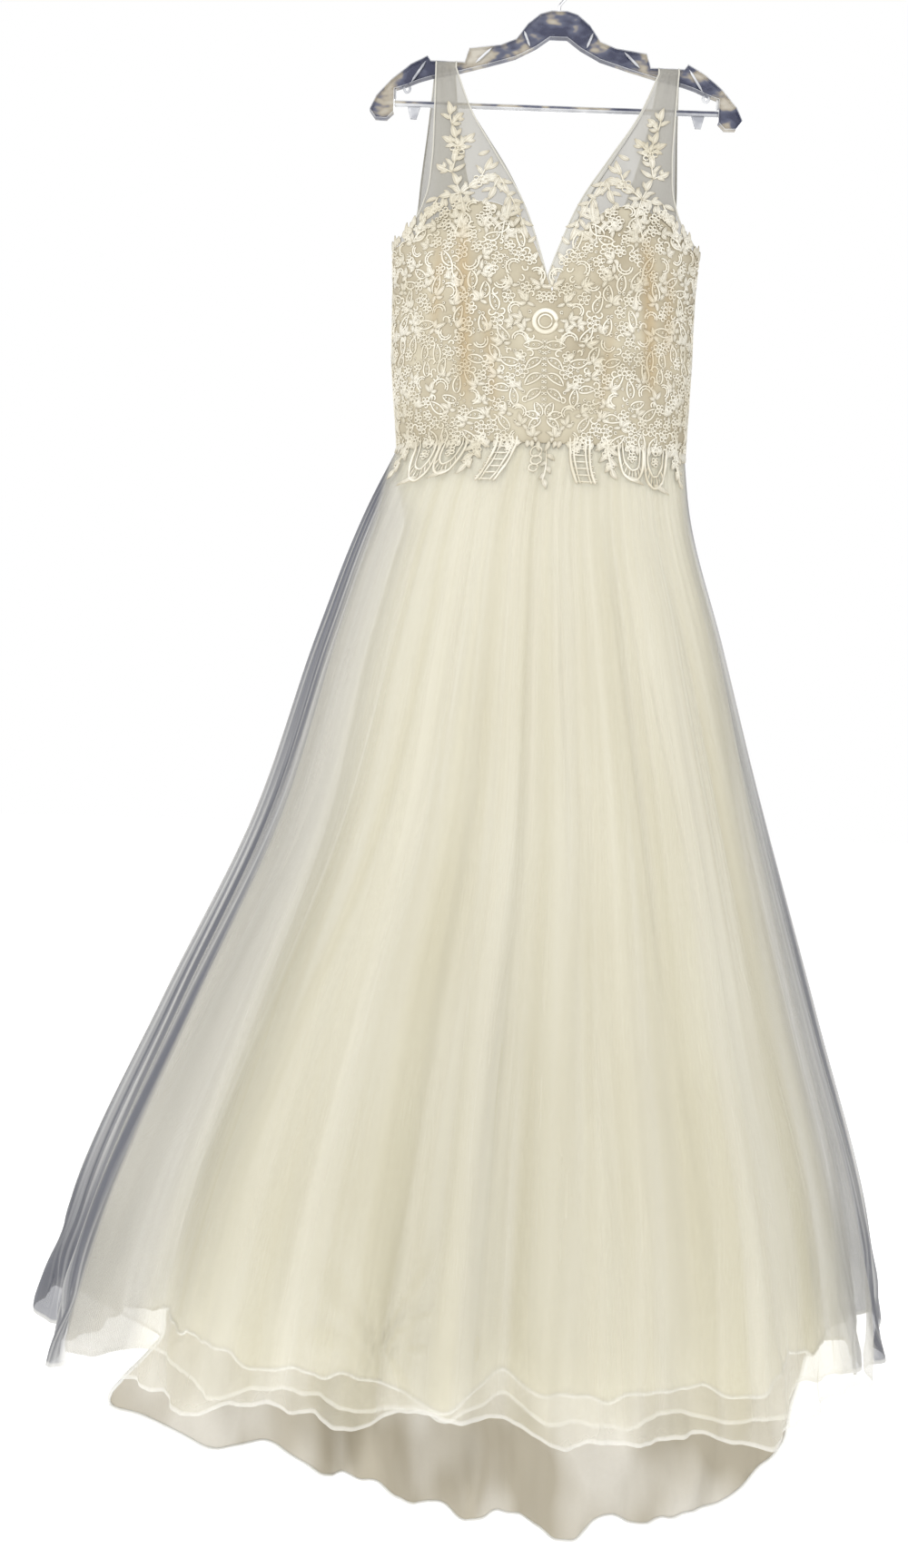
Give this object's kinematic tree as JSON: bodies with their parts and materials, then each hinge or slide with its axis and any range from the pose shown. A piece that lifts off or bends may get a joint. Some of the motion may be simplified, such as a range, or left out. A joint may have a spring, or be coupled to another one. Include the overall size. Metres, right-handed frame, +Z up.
{
  "type": "wedding dress on hanger",
  "caption": "Long A-line wedding dress with a lace bodice, sheer shoulders and gathered net skirt with a train, hanging on a clear hanger",
  "frame": {"origin": "inner top of the hanger's hook, the point that rests on a rail", "axes": "+Z up, +X to the right of someone facing the front of the dress, the front faces -Y"},
  "size_m": [0.9669, 0.654, 1.9309],
  "materials": {
    "bodice": "satin",
    "yoke": "sheer net",
    "lace": "corded",
    "tulle": "sheer net",
    "satin": "satin",
    "zip": "woven tape",
    "clear_plastic": "clear",
    "steel": "polished"
  },
  "bodies": {
    "root": {"bodice_front": "bodice", "bodice_back_left": "bodice", "bodice_back_right": "bodice", "yoke_front_left": "yoke", "yoke_front_right": "yoke", "yoke_back_left": "yoke", "yoke_back_right": "yoke", "lace_front": "lace", "lace_back_left": "lace", "lace_back_right": "lace", "tulle_outer_front": "tulle", "tulle_outer_back": "tulle", "tulle_under_front": "tulle", "tulle_under_back": "tulle", "lining_front": "satin", "lining_back": "satin", "zip_tape": "zip", "zip_slider": "steel", "hanger_body": "clear_plastic", "hanger_bar": "clear_plastic", "hanger_hook": "steel"}
  },
  "joints": []
}
